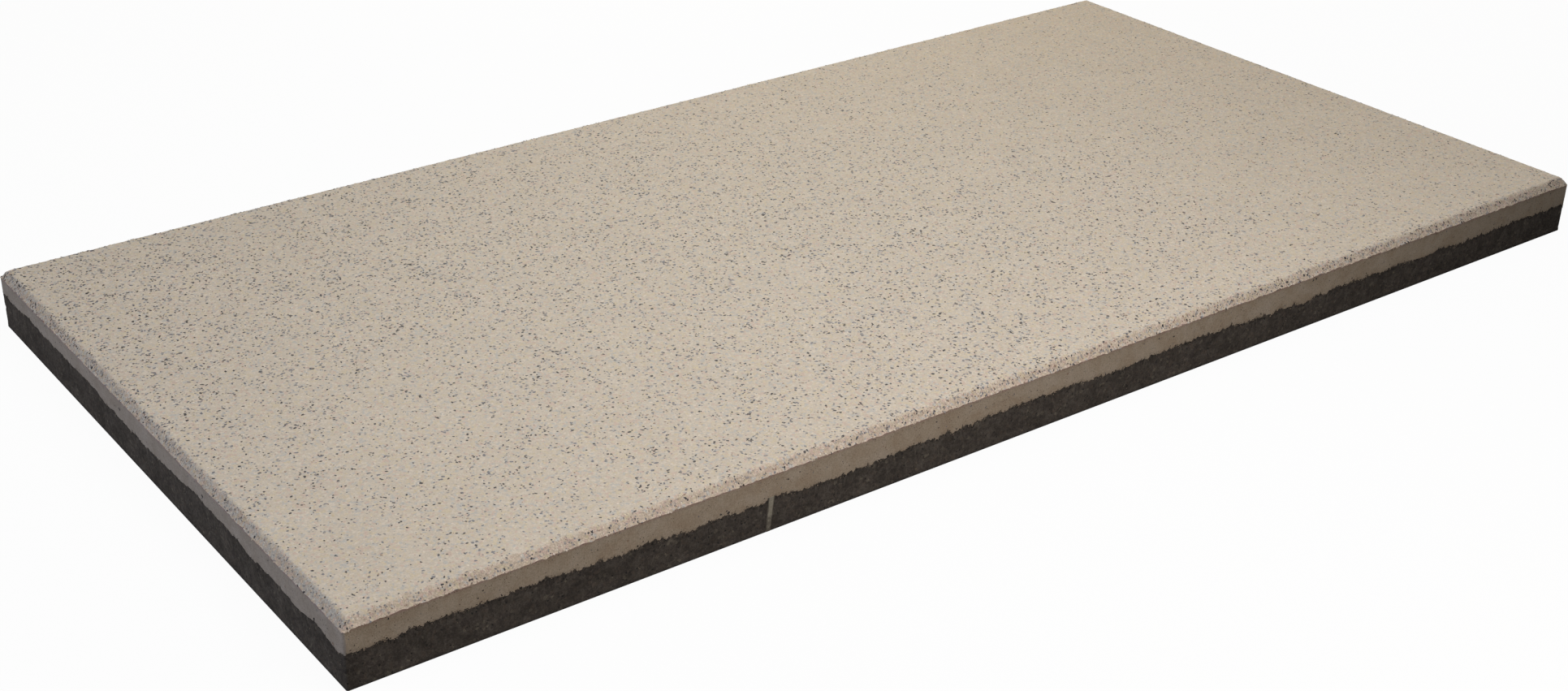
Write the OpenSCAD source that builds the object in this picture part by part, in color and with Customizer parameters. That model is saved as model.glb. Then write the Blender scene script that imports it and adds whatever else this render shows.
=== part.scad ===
// Two-layer pressed slab with a granite-chip face.
// The pale face mix and the dark core mix are pressed together while both are still wet, so the
// surface where they meet is wavy and locks them to each other.
// Frame: origin at the centre of the underside, +X along the length, +Y along the width, +Z up.

/* [Slab] */
// Length of the slab
slab_length = 1000; // [600:10:1200]
// Width of the slab
slab_width = 500; // [300:10:600]
// Thickness of the slab
slab_thickness = 42; // [38:1:80]

/* [Top edge] */
// Width of the chamfer, across the top
chamfer_width = 4; // [1:0.5:8]
// Depth of the chamfer, down the side
chamfer_depth = 5; // [1:0.5:8]

/* [Layers] */
// Height of the core layer where the boundary has no waves
core_height = 22; // [12:1:24]
// Scale of the boundary's waves, where 1 is as pressed and 0 is flat
wave_scale = 1; // [0:0.1:1.2]
// Spacing of the facets that make up the boundary
facet_step = 24; // [16:2:50]

/* [Run of face mix] */
// Distance of the run from the slab's left end, along the front side
run_from_left = 270; // [60:10:500]
// Width of the run where it leaves the face layer
run_top_width = 5; // [3:0.5:10]
// Width of the run at the underside
run_foot_width = 3.5; // [2:0.5:8]
// Distance the run leans to the left on its way down
run_lean = 2; // [0:0.5:6]
// Depth of the run into the core layer
run_depth = 3; // [1:0.5:10]

/* [Hidden] */

// Rise of the boundary above core_height on the front side, as [place along the length, rise]
front_rise = [
    [-0.50, 0], [-0.43, 2], [-0.34, 0], [-0.22, -2], [-0.10, -1.5], [-0.03, 1], [0.03, -0.5],
    [0.11, 1], [0.17, -2], [0.26, 0], [0.40, -1], [0.50, 0]
];
// The same on the left side, as [place along the width, rise]
left_rise = [[-0.50, 0], [-0.40, 2], [-0.25, 2.5], [0, 2], [0.20, 3.5], [0.36, 2.5], [0.50, 4]];

// Waves under the middle of the slab and at its other two sides
middle_wave = 1.6;
long_wave = 370;
short_wave = 230;
// Distance over which a side's own outline fades into the middle
fade = 50;
// How far the cutting shapes reach past the slab
reach = 30;

function base_rise(x, y) =
    middle_wave * (sin(360 * (x + 0.4 * y) / long_wave) + 0.6 * sin(360 * (y - 0.3 * x) / short_wave));

// Share of a side's own outline that is left at a distance from that side
function share(distance) = exp(-pow(max(distance, 0) / fade, 2));

function rise_front(x, y) =
    let (start = base_rise(x, y))
    start + share(y + slab_width / 2) * (lookup(x / slab_length, front_rise) - start);

function rise(x, y) =
    let (start = rise_front(x, y))
    let (left_share = share(x + slab_length / 2) * (1 - share(y + slab_width / 2)))
    start + left_share * (lookup(y / slab_width, left_rise) - start);

function boundary(x, y) = core_height + wave_scale * rise(x, y);

// Block with all four top edges chamfered
module chamfered_block() {
    intersection() {
        rotate([90, 0, 90])
            linear_extrude(height = slab_length, center = true)
                chamfered_section(slab_width);
        rotate([90, 0, 0])
            linear_extrude(height = slab_width, center = true)
                chamfered_section(slab_length);
    }
}

// Section through the slab, as wide as the side that it spans
module chamfered_section(span) {
    shoulder = slab_thickness - chamfer_depth;
    crown = span / 2 - chamfer_width;
    polygon([
        [-span / 2, 0], [span / 2, 0], [span / 2, shoulder],
        [crown, slab_thickness], [-crown, slab_thickness], [-span / 2, shoulder]
    ]);
}

// Everything below the boundary, out past all four sides and down to one deep point
module below_boundary() {
    columns = ceil((slab_length / 2 + reach) / facet_step) * 2 + 1;
    rows = ceil((slab_width / 2 + reach) / facet_step) * 2 + 1;
    function at(i, j) = i * rows + j;
    xs = [for (i = [0:columns - 1]) (i - (columns - 1) / 2) * facet_step];
    ys = [for (j = [0:rows - 1]) (j - (rows - 1) / 2) * facet_step];
    surface_points = [for (x = xs, y = ys) [x, y, boundary(x, y)]];
    deep_point = [0, 0, -slab_length];
    deep = len(surface_points);
    surface_faces = [
        for (i = [0:columns - 2], j = [0:rows - 2], half = [0, 1])
            half == 0
                ? [at(i, j), at(i, j + 1), at(i + 1, j + 1)]
                : [at(i, j), at(i + 1, j + 1), at(i + 1, j)]
    ];
    front = [for (i = [0:columns - 1]) at(i, 0)];
    right = [for (j = [0:rows - 1]) at(columns - 1, j)];
    back = [for (i = [columns - 1:-1:0]) at(i, rows - 1)];
    left = [for (j = [rows - 1:-1:0]) at(0, j)];
    wall_faces = [
        for (side = [front, right, back, left], k = [1:len(side) - 1])
            [side[k - 1], side[k], deep]
    ];
    polyhedron(points = concat(surface_points, [deep_point]), faces = concat(surface_faces, wall_faces));
}

// Narrow tongue of face mix that ran down between the core mix and the mould
module run() {
    root = slab_thickness - chamfer_depth - 1;
    foot_x = run_from_left - slab_length / 2 - run_lean;
    top_x = run_from_left - slab_length / 2;
    translate([0, run_depth - slab_width / 2, 0])
        rotate([90, 0, 0])
            linear_extrude(height = run_depth)
                polygon([
                    [foot_x - run_foot_width / 2, 0], [foot_x + run_foot_width / 2, 0],
                    [top_x + run_top_width / 2, core_height], [top_x + run_top_width / 2, root],
                    [top_x - run_top_width / 2, root], [top_x - run_top_width / 2, core_height]
                ]);
}

module face_layer() {
    color("tan") {
        difference() {
            chamfered_block();
            below_boundary();
        }
        run();
    }
}

module core_layer() {
    color("dimgray")
        difference() {
            intersection() {
                chamfered_block();
                below_boundary();
            }
            run();
        }
}

face_layer();
core_layer();
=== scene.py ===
import math

import bpy
import numpy as np
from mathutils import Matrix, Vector
from mathutils.bvhtree import BVHTree
from mathutils.geometry import delaunay_2d_cdt


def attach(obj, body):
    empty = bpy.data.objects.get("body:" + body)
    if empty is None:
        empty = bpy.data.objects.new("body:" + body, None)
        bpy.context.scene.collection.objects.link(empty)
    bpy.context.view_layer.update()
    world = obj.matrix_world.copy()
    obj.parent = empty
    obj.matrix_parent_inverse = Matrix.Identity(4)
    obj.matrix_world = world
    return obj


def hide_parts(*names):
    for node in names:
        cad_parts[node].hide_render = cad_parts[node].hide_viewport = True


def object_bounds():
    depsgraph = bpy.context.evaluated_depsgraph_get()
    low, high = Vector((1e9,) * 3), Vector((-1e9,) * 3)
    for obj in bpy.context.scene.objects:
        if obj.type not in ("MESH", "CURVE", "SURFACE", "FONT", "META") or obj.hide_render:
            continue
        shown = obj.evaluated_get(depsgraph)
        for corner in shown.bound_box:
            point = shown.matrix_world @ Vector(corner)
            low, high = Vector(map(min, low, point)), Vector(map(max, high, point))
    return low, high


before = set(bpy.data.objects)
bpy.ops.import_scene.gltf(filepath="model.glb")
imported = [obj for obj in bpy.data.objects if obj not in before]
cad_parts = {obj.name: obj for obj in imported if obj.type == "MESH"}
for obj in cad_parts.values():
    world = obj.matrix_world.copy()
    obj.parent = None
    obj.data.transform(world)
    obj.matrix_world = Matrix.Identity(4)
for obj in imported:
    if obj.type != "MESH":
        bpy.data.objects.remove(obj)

# A pressed slab of two layers: a pale face mix full of granite chips on a coarse dark core mix

# ------------------------ sizes, in metres

cad_low, cad_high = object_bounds()
MM = 0.001
TINY = 0.02 * MM
BODY = "root"
FACE_SLOT = "face_stone"
CORE_SLOT = "core_stone"

HALF_X = (cad_high.x - cad_low.x) / 2
HALF_Y = (cad_high.y - cad_low.y) / 2
TOP = cad_high.z
FOOT = cad_low.z

# Mesh spacings: columns round the sides, rows up the sides, and points of the sheets
COLUMN_STEP = 1.0 * MM
FACE_ROWS = 10
CORE_ROWS = 14
CORNER_RADIUS = 1.3 * MM
CORNER_POINTS = 3
COLUMN_JITTER = 0.25
SHEET_JITTER = 0.38

# Bands of points in each sheet: from and to, by distance from the outline, and their spacing
TOP_BANDS = [(0.5 * MM, 8 * MM, 1.15 * MM), (8 * MM, 13 * MM, 2.4 * MM), (13 * MM, 1, 5.2 * MM)]
UNDER_BANDS = [(1 * MM, 8 * MM, 2.5 * MM), (8 * MM, 1, 4.6 * MM)]
HIDDEN_BANDS = [(1.5 * MM, 8 * MM, 3 * MM), (8 * MM, 1, 12 * MM)]


# ------------------------ seeded noise

NOISE_CELLS = 1024


def ease(t):
    """Smooth step from 0 to 1."""
    t = np.clip(t, 0, 1)
    return t * t * (3 - 2 * t)


def between(table, columns, rows):
    """Values between a table's points. Columns and rows each give two indices and the share of the second."""
    i0, i1, s = columns
    j0, j1, t = rows
    near = table[i0, j0] * (1 - s) + table[i1, j0] * s
    far = table[i0, j1] * (1 - s) + table[i1, j1] * s
    return near * (1 - t) + far * t


def noise(seed, size_x, size_y=None):
    """A function of two coordinates that runs smoothly from -1 to 1, with features of that size."""
    table = np.random.default_rng(seed).uniform(-1, 1, (NOISE_CELLS, NOISE_CELLS))
    size_y = size_y or size_x

    def value(x, y):
        u = np.asarray(x, float) / size_x
        v = np.asarray(y, float) / size_y
        i = np.floor(u).astype(int)
        j = np.floor(v).astype(int)
        columns = (i % NOISE_CELLS, (i + 1) % NOISE_CELLS, ease(u - i))
        rows = (j % NOISE_CELLS, (j + 1) % NOISE_CELLS, ease(v - j))
        return between(table, columns, rows)

    return value


# ------------------------ what the CAD says

def node_points(node):
    return np.array([v.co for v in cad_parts[node].data.vertices])


def read_chamfer():
    """Width across the top and depth down the side of the chamfer."""
    points = node_points("face_layer")
    crown = points[points[:, 2] > TOP - TINY, 0].max()
    shoulder = points[points[:, 0] > cad_high.x - TINY, 2].max()
    return cad_high.x - crown, TOP - shoulder


CHAMFER_WIDTH, CHAMFER_DEPTH = read_chamfer()
SHOULDER = TOP - CHAMFER_DEPTH

# The boundary is read this far inside the sides, behind the run
READ_INSET = 4 * MM
READ_COLUMNS = 161
READ_ROWS = 81


def read_boundary():
    """A function of x and y that gives the height where the two layers meet."""
    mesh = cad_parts["core_layer"].data
    tree = BVHTree.FromPolygons([v.co for v in mesh.vertices], [tuple(p.vertices) for p in mesh.polygons])
    low = np.array([cad_low.x + READ_INSET, cad_low.y + READ_INSET])
    span = np.array([cad_high.x - READ_INSET, cad_high.y - READ_INSET]) - low
    count = np.array([READ_COLUMNS, READ_ROWS])
    heights = np.zeros(count)
    for i in range(READ_COLUMNS):
        for j in range(READ_ROWS):
            x, y = low + span * np.array([i, j]) / (count - 1)
            heights[i, j] = tree.ray_cast(Vector((x, y, TOP + 1)), Vector((0, 0, -1)))[0].z

    def value(x, y):
        u = np.clip((np.asarray(x) - low[0]) / span[0], 0, 1 - 1e-9) * (count[0] - 1)
        v = np.clip((np.asarray(y) - low[1]) / span[1], 0, 1 - 1e-9) * (count[1] - 1)
        i = u.astype(int)
        j = v.astype(int)
        return between(heights, (i, i + 1, u - i), (j, j + 1, v - j))

    return value


boundary = read_boundary()


def read_run():
    """Centre and width of the run at its foot and at its top, along the front side."""
    face = node_points("face_layer")
    foot = face[face[:, 2] < FOOT + MM, 0]
    foot_x = (foot.min() + foot.max()) / 2
    core = node_points("core_layer")
    near_run = (abs(core[:, 0] - foot_x) < 6 * MM) & (core[:, 2] > TOP / 3)
    top = core[near_run & (core[:, 1] < cad_low.y + READ_INSET), 0]
    return foot_x, foot.max() - foot.min(), (top.min() + top.max()) / 2, top.max() - top.min()


RUN_FOOT_X, RUN_FOOT_WIDTH, RUN_TOP_X, RUN_TOP_WIDTH = read_run()


# ------------------------ the outline and its columns

def make_outline():
    """Columns round the slab, from the near corner along the front and anticlockwise from above."""
    rng = np.random.default_rng(11)
    sides = [
        ((-HALF_X, -HALF_Y), (1, 0), (0, -1), 2 * HALF_X, 1),
        ((HALF_X, -HALF_Y), (0, 1), (1, 0), 2 * HALF_Y, 0),
        ((HALF_X, HALF_Y), (-1, 0), (0, 1), 2 * HALF_X, 1),
        ((-HALF_X, HALF_Y), (0, -1), (-1, 0), 2 * HALF_Y, 0),
    ]
    place, normal, long_side = [], [], []
    for start, direction, out, span, is_long in sides:
        start, direction, out = np.array(start), np.array(direction), np.array(out)
        straight = span - 2 * CORNER_RADIUS
        steps = round(straight / COLUMN_STEP)
        shift = rng.uniform(-COLUMN_JITTER, COLUMN_JITTER, steps + 1)
        shift[[0, -1]] = 0
        for t in CORNER_RADIUS + straight * (np.arange(steps + 1) + shift) / steps:
            place.append(start + direction * t)
            normal.append(out)
            long_side.append(is_long)
        centre = start + direction * (span - CORNER_RADIUS) - out * CORNER_RADIUS
        for k in range(1, CORNER_POINTS + 1):
            angle = math.pi / 2 * k / (CORNER_POINTS + 1)
            turned = out * math.cos(angle) + direction * math.sin(angle)
            place.append(centre + turned * CORNER_RADIUS)
            normal.append(turned)
            long_side.append(is_long)
    place = np.array(place, float)
    gaps = np.hypot(*(np.roll(place, -1, 0) - place).T)
    along = np.concatenate([[0], np.cumsum(gaps)[:-1]])
    return place, np.array(normal, float), along, np.array(long_side, float)


PLACE, NORMAL, ALONG, LONG_SIDE = make_outline()
COLUMNS = len(PLACE)
CORNER_BLEND = 15


def smooth_round(values, reach):
    """The values averaged round the outline, over that many columns each way."""
    window = np.ones(2 * reach + 1) / (2 * reach + 1)
    return np.convolve(np.concatenate([values[-reach:], values, values[:reach]]), window, "valid")


# 1 on the long sides, 0 on the short ones, and in between near the corners
RAGGED = smooth_round(LONG_SIDE, CORNER_BLEND)

# Rise of the boundary just right of the run, where the core mix stands higher
RUN_STEP = 1.5 * MM
RUN_STEP_LENGTH = 9 * MM

# Waves of the boundary as (seed, length, height): on the long sides, and on the short ones
LONG_WAVES = [(21, 21 * MM, 1.1 * MM), (22, 7 * MM, 0.65 * MM), (23, 2.6 * MM, 0.55 * MM)]
SHORT_WAVES = [(26, 26 * MM, 1.7 * MM), (27, 9 * MM, 0.9 * MM), (28, 2.4 * MM, 0.45 * MM)]
# Sharp teeth up and notches down, as (seed, length, how much of the noise is cut off, height), and the share
# of them that the short sides have
TEETH = (24, 1.5 * MM, 0.2, 2.2 * MM)
NOTCHES = (25, 2.2 * MM, 0.45, 1.6 * MM)
SHORT_TEETH = 0.45
# The long sides' line lies this much lower on average, to make up for its teeth
LONG_DROP = 0.6 * MM


def round_outline(seed, size):
    """Noise along the outline, one value for each column."""
    return noise(seed, size)(ALONG, np.zeros(COLUMNS))


def waves(rows):
    return sum(round_outline(seed, size) * height for seed, size, height in rows)


def spikes(seed, size, cut, height):
    return np.maximum(round_outline(seed, size) - cut, 0) * height


def make_edge_line():
    """Height of the boundary at each column: the CAD's, with the teeth and waves that pressing left."""
    height = boundary(PLACE[:, 0], PLACE[:, 1])
    teeth = spikes(*TEETH) - spikes(*NOTCHES)
    ragged = waves(LONG_WAVES) + teeth - LONG_DROP
    wavy = waves(SHORT_WAVES) + SHORT_TEETH * teeth
    height = height + RAGGED * ragged + (1 - RAGGED) * wavy
    on_front = PLACE[:, 1] < -HALF_Y + TINY
    past_run = (PLACE[:, 0] - RUN_TOP_X - RUN_TOP_WIDTH / 2) / RUN_STEP_LENGTH
    step_up = on_front * (past_run > 0) * (1 - ease(past_run))
    return height + RUN_STEP * step_up


EDGE_LINE = make_edge_line()


# ------------------------ relief of the surfaces

def depth_in(x, y):
    """Distance from the outline, inwards."""
    return np.minimum(HALF_X - abs(x), HALF_Y - abs(y))


# Worn top corners: which corner, and how much is gone there
WORN_CORNERS = [(-1, -1, 1.5 * MM), (1, -1, 0.5 * MM), (1, 1, 0.9 * MM), (-1, 1, 0.6 * MM)]
WEAR_REACH = 4.5 * MM
# The crown is rounded over this share of the chamfer, and its line strays
CROWN_BLEND = 0.34
CROWN_STRAY = [(31, 7 * MM, 0.22 * MM), (32, 2.3 * MM, 0.25 * MM)]
# The arris under the chamfer wanders up and down, because crumbs broke away there
ARRIS_STRAY = [(38, 5 * MM, 0.22 * MM), (39, 1.9 * MM, 0.5 * MM)]
ARRIS_CRUMB = 1.5 * MM
ARRIS_REACH = 0.55
# The rough edge texture reaches further in and out than the shape does
EDGE_STRAY = [(36, 6 * MM, 0.35), (37, 2.2 * MM, 0.4)]
# Roughness of the flat top and of the chamfer, and where it changes, in chamfer widths
FLAT_RELIEF = 0.09 * MM
ROUGH_RELIEF = 0.6 * MM
ROUGH_TO = 0.45
FLAT_FROM = 1.5
# Share of the roughness that is left right at the arris, and where it is all back
ARRIS_ROUGH = 0.4
ARRIS_SMOOTH = 0.25
# Height of a crumb counts from this value of its noise, whose seed and size follow
CRUMB_CUT = 0.35
CRUMB_NOISE = (40, 1.6 * MM)
# Noise of the roughness, as (seed, size, share)
TOP_NOISE = [(33, 1.7 * MM, 0.55), (34, 3.1 * MM, 0.3), (35, 26 * MM, 0.3)]


def chamfer_place(x, y):
    """Distance from the outline in chamfer widths, with the stray of a pressed edge."""
    depth = depth_in(x, y)
    for seed, size, amount in CROWN_STRAY:
        depth = depth + noise(seed, size)(x, y) * amount * ease(depth / CHAMFER_WIDTH)
    return depth / CHAMFER_WIDTH


def top_height(x, y):
    """Height of the top and its chamfers."""
    place = chamfer_place(x, y)
    down = 1 - place
    blend = (down + CROWN_BLEND) ** 2 / (4 * CROWN_BLEND)
    fall = np.where(down > CROWN_BLEND, down, np.where(down < -CROWN_BLEND, 0, blend))
    height = TOP - CHAMFER_DEPTH * np.minimum(fall, 1)
    rough = ROUGH_RELIEF + (FLAT_RELIEF - ROUGH_RELIEF) * ease((place - ROUGH_TO) / (FLAT_FROM - ROUGH_TO))
    rough = rough * (ARRIS_ROUGH + (1 - ARRIS_ROUGH) * ease(place / ARRIS_SMOOTH))
    grain = sum(share * noise(seed, size)(x, y) for seed, size, share in TOP_NOISE)
    height = height - rough * (1 + grain) / 2
    at_arris = 1 - ease(place / ARRIS_REACH)
    for seed, size, amount in ARRIS_STRAY:
        height = height + amount * noise(seed, size)(x, y) * at_arris
    height = height - ARRIS_CRUMB * np.maximum(noise(*CRUMB_NOISE)(x, y) - CRUMB_CUT, 0) * at_arris
    for sign_x, sign_y, amount in WORN_CORNERS:
        away = np.hypot(x - sign_x * HALF_X, y - sign_y * HALF_Y)
        height = height - amount * np.exp(-((away / WEAR_REACH) ** 2))
    return height


# How far the face mix's side strays, in fine grains and broadly
FACE_FINE = 0.05 * MM
FACE_BROAD = 0.1 * MM
# The same for the core mix, with its upright streaks, how far it is sunk, and its pits
CORE_FINE = 0.07 * MM
CORE_STREAK = 0.1 * MM
CORE_BROAD = 0.08 * MM
CORE_SUNK = 0.12 * MM
PIT_DEPTH = 1.2 * MM
PIT_CUT = 0.55
# The core mix crumbles just below the boundary, where the two reliefs blend
CRUMBLE_DEPTH = 0.6 * MM
CRUMBLE_REACH = 2.6 * MM
BLEND_HEIGHT = 1.2 * MM
# The small lump of face mix on the near vertical edge
LUMP_HEIGHT = 29 * MM
LUMP_REACH = 4 * MM
LUMP_RISE = 0.4 * MM
# The face mix stands out a little just under the arris
LIP_RISE = 0.16 * MM
LIP_REACH = 1.1 * MM
# The core's relief starts this far up, because the mould's floor left a clean lower edge
FOOT_FADE = 4 * MM

side_grain = noise(41, 2.6 * MM)
side_broad = noise(42, 17 * MM, 9 * MM)
core_grain = noise(43, 2.2 * MM)
core_streak = noise(44, 1.9 * MM, 13 * MM)
core_pit = noise(45, 3.3 * MM, 2.8 * MM)
core_broad = noise(46, 24 * MM, 12 * MM)


def side_relief(z):
    """How far each column stands out from the outline at those heights. It runs on across the boundary."""
    face = FACE_FINE * side_grain(ALONG, z) + FACE_BROAD * side_broad(ALONG, z)
    face = face + LIP_RISE * np.exp(-(((SHOULDER - z) / LIP_REACH) ** 2))
    from_near_corner = np.minimum(ALONG, ALONG[-1] - ALONG)
    lump = ((z - LUMP_HEIGHT) / LUMP_REACH) ** 2 + (from_near_corner / LUMP_REACH) ** 2
    face = face + LUMP_RISE * np.exp(-lump)
    core = CORE_FINE * core_grain(ALONG, z) + CORE_STREAK * core_streak(ALONG, z)
    core = core + CORE_BROAD * core_broad(ALONG, z) - CORE_SUNK
    core = core - PIT_DEPTH * np.maximum(core_pit(ALONG, z) - PIT_CUT, 0)
    below = EDGE_LINE - z
    crumbly = np.exp(-((below / CRUMBLE_REACH) ** 2)) * np.maximum(core_grain(ALONG + 1, z), 0)
    core = (core - CRUMBLE_DEPTH * crumbly * RAGGED) * ease((z - FOOT) / FOOT_FADE)
    share = ease(0.5 + below / BLEND_HEIGHT)
    return face + (core - face) * share


def side_row(z):
    """Points of one row round the sides, at those heights."""
    return np.column_stack([PLACE + NORMAL * side_relief(z)[:, None], z])


# ------------------------ meshes of the two layers

def scatter(bands, seed):
    """Jittered points inside the outline."""
    rng = np.random.default_rng(seed)
    found = []
    for near, far, step in bands:
        xs = np.arange(-HALF_X + step / 2, HALF_X, step)
        ys = np.arange(-HALF_Y + step / 2, HALF_Y, step)
        points = np.stack(np.meshgrid(xs, ys, indexing="ij"), -1).reshape(-1, 2)
        points = points + rng.uniform(-SHEET_JITTER, SHEET_JITTER, points.shape) * step
        depth = depth_in(points[:, 0], points[:, 1])
        found.append(points[(depth > near) & (depth <= far)])
    return np.concatenate(found)


def triangulate(inner):
    """Triangles, seen anticlockwise from above, between the outline's columns and the inner points."""
    flat = [Vector(p) for p in np.concatenate([PLACE, inner]).tolist()]
    rim = [(i, (i + 1) % COLUMNS) for i in range(COLUMNS)]
    points, _, faces, _, _, _ = delaunay_2d_cdt(flat, rim, [], 1, 1e-9)
    if len(points) != len(flat):
        raise ValueError("the sheet's points were merged or split")
    faces = np.array(faces)
    a, b, c = (np.array([points[i] for i in faces[:, k]]) for k in range(3))
    turn = (b[:, 0] - a[:, 0]) * (c[:, 1] - a[:, 1]) - (b[:, 1] - a[:, 1]) * (c[:, 0] - a[:, 0])
    faces[turn < 0] = faces[turn < 0][:, ::-1]
    return faces


def make_sheet(bands, seed, rim_z, height_at):
    """Points and triangles of a sheet whose rim is the row of side points at those heights."""
    inner = scatter(bands, seed)
    faces = triangulate(inner)
    z = height_at(inner[:, 0], inner[:, 1])
    return np.concatenate([side_row(rim_z), np.column_stack([inner, z])]), faces


def close_layer(upper, lower, rows):
    """Points and faces of the solid between two sheets. Gives the faces as upper, side and lower lists."""
    upper_points, upper_faces = upper
    lower_points, lower_faces = lower
    top_z = upper_points[:COLUMNS, 2]
    foot_z = lower_points[:COLUMNS, 2]
    middle = [side_row(foot_z + (top_z - foot_z) * k / rows) for k in range(1, rows)]
    points = np.concatenate([upper_points, lower_points, *middle])
    lower_start = len(upper_points)
    middle_start = lower_start + len(lower_points)
    starts = [lower_start, *(middle_start + COLUMNS * k for k in range(rows - 1)), 0]
    here = np.arange(COLUMNS)
    after = (here + 1) % COLUMNS
    side_faces = np.concatenate([
        np.column_stack([low + here, low + after, high + after, high + here])
        for low, high in zip(starts[:-1], starts[1:])
    ])
    return points, upper_faces, side_faces, lower_faces[:, ::-1] + lower_start


def add_object(name, data):
    thing = bpy.data.objects.new(name, data)
    bpy.context.scene.collection.objects.link(thing)
    return thing


def make_object(name, points, faces, materials, indices):
    """A mesh object that rides on the slab."""
    mesh = bpy.data.meshes.new(name)
    mesh.from_pydata(points.tolist(), [], [list(f) for f in faces])
    for material in materials:
        mesh.materials.append(material)
    mesh.polygons.foreach_set("material_index", np.asarray(indices, np.int32))
    mesh.update()
    piece = add_object(name, mesh)
    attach(piece, BODY)
    return piece


def smooth(piece, angle):
    """Smooth shading, with a crease where faces meet at more than the angle."""
    piece.data.polygons.foreach_set("use_smooth", np.ones(len(piece.data.polygons), bool))
    piece.data.set_sharp_from_angle(angle=math.radians(angle))


def tree_of(*pieces):
    points, faces = [], []
    for piece in pieces:
        start = len(points)
        points += [v.co for v in piece.data.vertices]
        faces += [tuple(start + v for v in p.vertices) for p in piece.data.polygons]
    return BVHTree.FromPolygons(points, faces)


# ------------------------ material helpers

# A noise texture mostly stays between these values
NOISE_LOW = 0.3
NOISE_HIGH = 0.7


def grey(value):
    return (value, value, value, 1)


class Maker:
    """Builds one procedural material. Sizes are in metres."""

    def __init__(self, name):
        self.material = bpy.data.materials.new(name)
        self.material.use_nodes = True
        self.tree = self.material.node_tree
        self.shader = self.tree.nodes["Principled BSDF"]
        self.coords = self.node("TexCoord", {}).outputs["Object"]

    def join(self, value, socket):
        """Links an output to a socket, or sets the socket to a plain value."""
        if isinstance(value, bpy.types.NodeSocket):
            self.tree.links.new(value, socket)
        else:
            socket.default_value = value

    def node(self, kind, inputs, **settings):
        """A new node with those settings, whose inputs are set or linked."""
        node = self.tree.nodes.new("ShaderNode" + kind)
        for name, value in settings.items():
            setattr(node, name, value)
        for name, value in inputs.items():
            self.join(value, node.inputs[name])
        return node

    def stretch(self, x, y, z):
        """Coordinates with the pattern made that many times longer along each axis."""
        scale = (1 / x, 1 / y, 1 / z)
        return self.node("Mapping", {"Vector": self.coords, "Scale": scale}).outputs["Vector"]

    def axis(self, name):
        """One of the slab's coordinates."""
        return self.node("SeparateXYZ", {"Vector": self.coords}).outputs[name]

    def height(self):
        """Height above the underside."""
        return self.axis("Z")

    def noise(self, size, detail=2.0, rough=0.5, bend=0.0, coords=None):
        inputs = {
            "Vector": coords or self.coords, "Scale": 1 / size,
            "Detail": detail, "Roughness": rough, "Distortion": bend,
        }
        return self.node("TexNoise", inputs).outputs["Fac"]

    def cells(self, size, coords=None):
        """Voronoi cells: their random value and the distance from their centres."""
        cell = self.node("TexVoronoi", {"Vector": coords or self.coords, "Scale": 1 / size})
        split = self.node("SeparateColor", {"Color": cell.outputs["Color"]})
        return split.outputs["Red"], cell.outputs["Distance"]

    def jostled(self, size, amount):
        """Coordinates shaken by noise, so that cells lose their straight edges."""
        shake = self.node("TexNoise", {"Vector": self.coords, "Scale": 1 / size}).outputs["Color"]
        scaled = self.node("VectorMath", {0: shake, "Scale": amount}, operation="SCALE").outputs["Vector"]
        return self.node("VectorMath", {0: self.coords, 1: scaled}, operation="ADD").outputs["Vector"]

    def ramp(self, value, stops, kind="LINEAR"):
        node = self.node("ValToRGB", {"Fac": value})
        ramp = node.color_ramp
        ramp.interpolation = kind
        while len(ramp.elements) < len(stops):
            ramp.elements.new(0.5)
        for element, (place, colour) in zip(ramp.elements, stops):
            element.position = place
            element.color = colour
        return node.outputs["Color"]

    def spread(self, value, low, high, to_low=0.0, to_high=1.0):
        """The value with low and high mapped to the two ends, and held there beyond them."""
        inputs = {"Value": value, "From Min": low, "From Max": high, "To Min": to_low, "To Max": to_high}
        return self.node("MapRange", inputs).outputs["Result"]

    def mix(self, share, first, second, kind="MIX"):
        inputs = {"Factor": share, "A": first, "B": second}
        return self.node("Mix", inputs, data_type="RGBA", blend_type=kind).outputs["Result"]

    def times(self, first, second):
        return self.mix(1.0, first, second, "MULTIPLY")

    def over(self, value, low, high):
        """Low to high over the usual range of a noise."""
        return self.spread(value, NOISE_LOW, NOISE_HIGH, low, high)

    def shade(self, value, low, high):
        """A grey that runs from low to high over the usual range of a noise."""
        return self.mix(self.over(value, 0, 1), grey(low), grey(high))

    def sum(self, first, second, share=1.0):
        """First plus share times second, for bump heights."""
        return self.node("Math", {0: second, 1: share, 2: first}, operation="MULTIPLY_ADD").outputs["Value"]

    def finish(self, colour, rough, height, depth, specular=0.3):
        """Sets the shader. The bump's depth is in metres."""
        bump = self.node("Bump", {"Strength": 1.0, "Distance": depth, "Height": height})
        self.join(bump.outputs["Normal"], self.shader.inputs["Normal"])
        self.join(colour, self.shader.inputs["Base Color"])
        self.join(rough, self.shader.inputs["Roughness"])
        self.shader.inputs["Specular IOR Level"].default_value = specular
        return self.material


# ------------------------ materials

# Tints of the darker cells in the face mix, and of the side just under the arris, which is partly a pink
# stain and partly painted shade
DUST_TINT = (0.70, 0.72, 0.77, 1)
ARRIS_SHADE_TINT = (1.0, 0.85, 0.96, 1)
ARRIS_SHADE_FROM = SHOULDER - 2.0 * MM
ARRIS_SHADE_TO = SHOULDER - 0.2 * MM
# The pores are painted this much darker: painted shade inside them
PORE_PAINTED_SHADE = 0.62


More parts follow.
